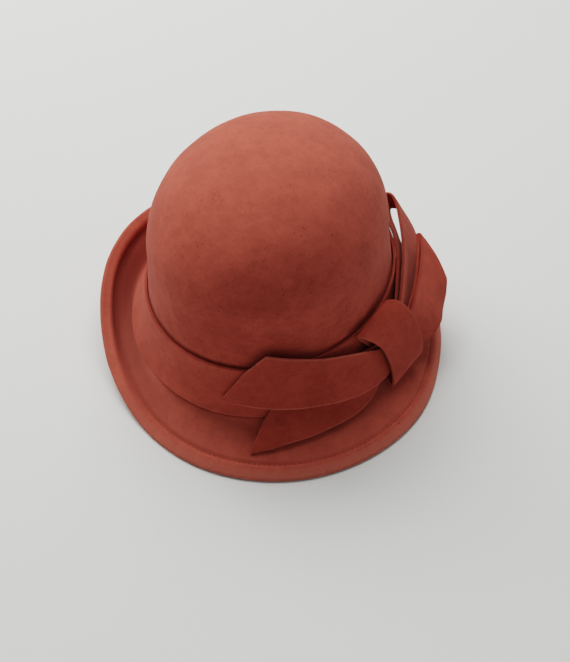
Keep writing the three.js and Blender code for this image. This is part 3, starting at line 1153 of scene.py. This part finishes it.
@dataclass
class Bow:
    """The folded bow: knot, two loops and two tails."""

    form: HatForm

    def strips(self) -> dict[str, Strip]:
        """Every strip of the bow by its CAD node's name."""
        f = self.form
        return {
            "bow_knot": Strip(f, KNOT, ring=True, ripple=0.1, seed=11),
            # the loops' cut edges carry painted shade
            "bow_loop_upper": Strip(f, LOOP_UPPER, ripple=0.15, pale=-0.6, seed=12),
            "bow_loop_lower": Strip(f, LOOP_LOWER, swell=0.05, ripple=0.15, pale=-0.45, seed=13),
            "bow_tail_upper": Strip(f, TAIL_UPPER, straight=2, ripple=0.15, pale=0.5, seed=14),
            "bow_tail_lower": Strip(f, TAIL_LOWER, straight=2, ripple=0.15, pale=0.5, seed=15),
        }

    def build(self, felt: bpy.types.Material) -> None:
        """Builds every strip and dresses it in the bow's material."""
        for node, strip in self.strips().items():
            strip.skin().piece(node.replace("bow", "felt_bow"), felt, Slot.BOW, [node])


# Studio
@dataclass(frozen=True)
class Lamp:
    """A square area light that faces the hat."""

    name: str
    spot: tuple[float, float, float]  # in metres
    size: float  # side in metres
    power: float  # watts
    colour: tuple[float, float, float]
    target: tuple[float, float, float] = (0.0, 0.0, 0.08)

    def build(self) -> None:
        """Makes the light and turns it to its target."""
        data = bpy.data.lights.new(self.name, "AREA")
        data.size, data.energy, data.color = self.size, self.power, self.colour
        made = put(self.name, data)
        made.location = self.spot
        view = Vector(self.target) - Vector(self.spot)
        made.rotation_euler = view.to_track_quat("-Z", "Y").to_euler()


@dataclass
class Studio:
    """Floor, world, lights and the camera at the photograph's viewing angle."""

    form: HatForm
    azimuth: float = 196.0
    elevation: float = 44.68
    roll: float = -2.83
    distance: float = 1000.0  # millimetres, as the aim
    aim: tuple[float, float, float] = (-16.53, 29.85, -33.62)  # from the middle of the band's top line
    lens: float = 77.78
    sensor: float = 36.0
    floor_side: float = 6.0  # metres from the middle
    world_colour: Colour = (0.93, 0.96, 1.0, 1.0)
    world_strength: float = 0.17
    lamps: tuple[Lamp, ...] = (
        Lamp("window", (1.25, -0.7, 1.3), 1.2, 20.5, (1.0, 0.98, 0.96)),
        Lamp("ceiling", (0.32, -0.85, 1.6), 1.6, 32.3, (1.0, 0.98, 0.95)),
        Lamp("room", (-1.5, -0.5, 1.0), 1.4, 0.8, (0.98, 0.99, 1.0)),
    )

    def camera(self) -> None:
        """Looks at the aim point from the fitted angle, with right and up rolled about the view."""
        a, e, r = map(math.radians, (self.azimuth, self.elevation, self.roll))
        back = np.array([math.sin(a) * math.cos(e), -math.cos(a) * math.cos(e), math.sin(e)])
        right = unit(np.array([-back[1], back[0], 0.0]))
        up = np.cross(back, right)
        right, up = right * math.cos(r) + up * math.sin(r), up * math.cos(r) - right * math.sin(r)
        spot = self.form.stand(np.array(self.aim) + self.distance * back) * MM
        axes = self.form.level @ np.stack([right, up, back], 1)
        data = bpy.data.cameras.new("camera")
        data.lens, data.sensor_width, data.sensor_fit = self.lens, self.sensor, "AUTO"
        data.dof.use_dof = False
        made = put("camera", data)
        made.matrix_world = Matrix.Translation(Vector(spot)) @ Matrix(axes.tolist()).to_4x4()
        bpy.context.scene.camera = made

    def floor(self) -> None:
        """Makes the paper floor, which belongs to the studio and not to the hat."""
        side = self.floor_side
        mesh = bpy.data.meshes.new("floor")
        corners = [(-side, -side, 0), (side, -side, 0), (side, side, 0), (-side, side, 0)]
        mesh.from_pydata(corners, [], [(0, 1, 2, 3)])
        mesh.materials.append(PlainFinish("floor_paper", linear(240, 243, 240)).build())
        put("floor", mesh)

    def build(self) -> None:
        """Sets floor, world, lights, view and camera."""
        self.floor()
        world = bpy.data.worlds.new("studio")
        bpy.context.scene.world = world
        world.use_nodes = True
        background = world.node_tree.nodes["Background"]
        background.inputs["Color"].default_value = self.world_colour
        background.inputs["Strength"].default_value = self.world_strength
        for lamp in self.lamps:
            lamp.build()
        bpy.context.scene.view_settings.view_transform = "Filmic"
        bpy.context.scene.view_settings.look = "Medium High Contrast"
        self.camera()


def main() -> None:
    """Builds the hat piece by piece, then the studio."""
    logging.basicConfig(level=logging.INFO, format="%(message)s")
    form = HatForm()
    form.centre_on(*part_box("felt_body"))
    body_colours = linear(182, 79, 63), linear(147, 57, 44), linear(200, 116, 99)
    band_dyes = linear(184, 80, 64), linear(153, 61, 48), linear(198, 112, 96)
    bow_dyes = linear(176, 73, 57), linear(146, 55, 42), linear(198, 112, 96)
    body_felt = FeltFinish("body_felt", *body_colours, dusty=0.28).build()
    band_felt = FeltFinish("band_felt", *band_dyes).build()
    bow_felt = FeltFinish("bow_felt", *bow_dyes).build()
    thread = PlainFinish("hem_thread", linear(146, 62, 49)).build()
    body = FeltBody(form)
    body.skin().piece("felt_body_soft", body_felt, Slot.BODY, ["felt_body"])
    body.stitches().piece("hem_stitches", thread, Slot.BODY)
    CrownBand(form).skin().piece("crown_band_soft", band_felt, Slot.BAND, ["crown_band"])
    Bow(form).build(bow_felt)
    Studio(form).build()


if __name__ == "__main__":
    main()
